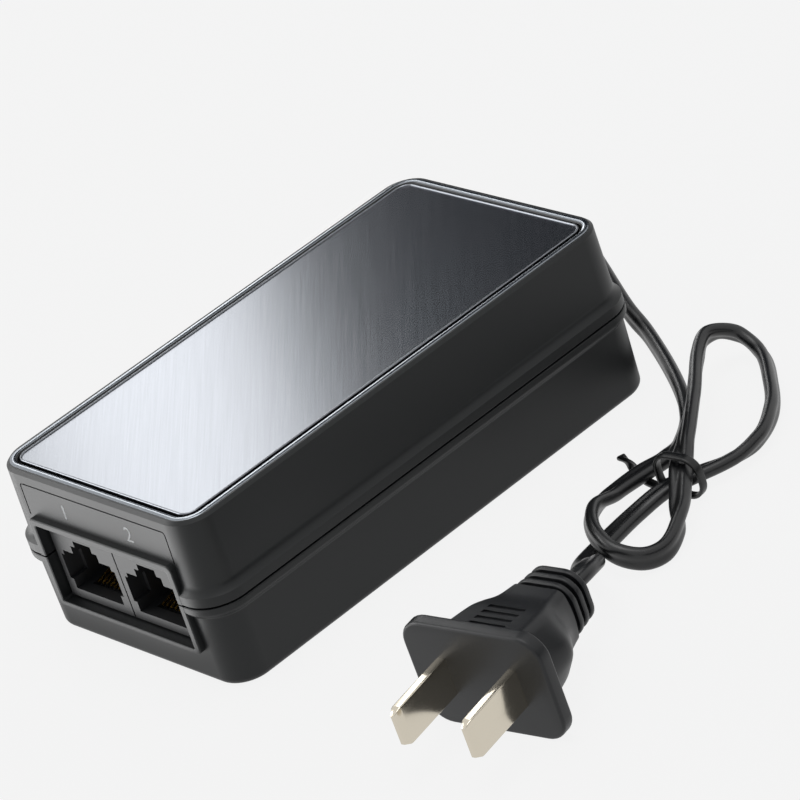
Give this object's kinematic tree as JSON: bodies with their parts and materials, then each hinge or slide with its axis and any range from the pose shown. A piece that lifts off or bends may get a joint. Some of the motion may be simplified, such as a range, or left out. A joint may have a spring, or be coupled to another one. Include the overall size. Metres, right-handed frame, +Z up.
{
  "type": "PoE injector",
  "caption": "Inline Ethernet power injector: flat moulded case, two network jacks side by side at the front, and a mains lead with a flat-pin plug, tied in a loop.",
  "frame": {"origin": "centre of the case base, on the surface that it stands on", "axes": "+Z up, -Y towards the front with the two jacks, +X to the right seen from above with the front towards the viewer"},
  "size_m": [0.1065, 0.1126, 0.0295],
  "materials": {
    "case_plastic": "fine moulded satin",
    "plate_metal": "brushed diagonally, dark anodised",
    "jack_plastic": "satin",
    "carrier_plastic": "satin",
    "contact_gold": "gold plated",
    "board": "solder resist on glass laminate",
    "cord_pvc": "smooth twin flex",
    "relief_pvc": "moulded",
    "plug_pvc": "moulded satin",
    "tie_plastic": "coated wire",
    "pin_nickel": "nickel plated brass",
    "epoxy": "moulded",
    "can_sleeve": "shrink sleeve",
    "ferrite": "ground",
    "winding_tape": "polyester tape",
    "winding_copper": "enamelled copper wire",
    "sink_aluminium": "mill finish",
    "capacitor_coating": "dipped"
  },
  "bodies": {
    "case": {"upper_shell": "case_plastic", "lower_shell": "case_plastic", "top_plate": "plate_metal", "circuit_board": "board", "jack_housing_left": "jack_plastic", "contact_carrier_left": "carrier_plastic", "jack_housing_right": "jack_plastic", "contact_carrier_right": "carrier_plastic", "fuse": "epoxy", "bridge_rectifier": "epoxy", "mains_capacitor": "can_sleeve", "line_choke": "winding_copper", "transformer_core": "ferrite", "transformer_winding": "winding_tape", "heat_sink": "sink_aluminium", "switch_transistor": "epoxy", "controller_chip": "epoxy", "safety_capacitor": "capacitor_coating", "output_capacitor_1": "can_sleeve", "output_capacitor_2": "can_sleeve", "output_choke": "ferrite", "cord_strain_relief": "relief_pvc", "mains_cord": "cord_pvc", "cord_tie": "tie_plastic", "plug_body": "plug_pvc", "plug_pin_left": "pin_nickel", "plug_pin_right": "pin_nickel"},
    "contacts_left": {"contact_left_1": "contact_gold", "contact_left_2": "contact_gold", "contact_left_3": "contact_gold", "contact_left_4": "contact_gold", "contact_left_5": "contact_gold", "contact_left_6": "contact_gold", "contact_left_7": "contact_gold", "contact_left_8": "contact_gold"},
    "contacts_right": {"contact_right_1": "contact_gold", "contact_right_2": "contact_gold", "contact_right_3": "contact_gold", "contact_right_4": "contact_gold", "contact_right_5": "contact_gold", "contact_right_6": "contact_gold", "contact_right_7": "contact_gold", "contact_right_8": "contact_gold"}
  },
  "joints": [
    {"name": "contacts_left_press", "type": "hinge", "parent": "case", "child": "contacts_left", "pos_m": [-0.00785, -0.0416, 0.0086], "axis": [-1, 0, 0], "range_deg": [0, 7.5], "stiffness_Nm_per_rad": 0.02},
    {"name": "contacts_right_press", "type": "hinge", "parent": "case", "child": "contacts_right", "pos_m": [0.00785, -0.0416, 0.0086], "axis": [-1, 0, 0], "range_deg": [0, 7.5], "stiffness_Nm_per_rad": 0.02}
  ]
}
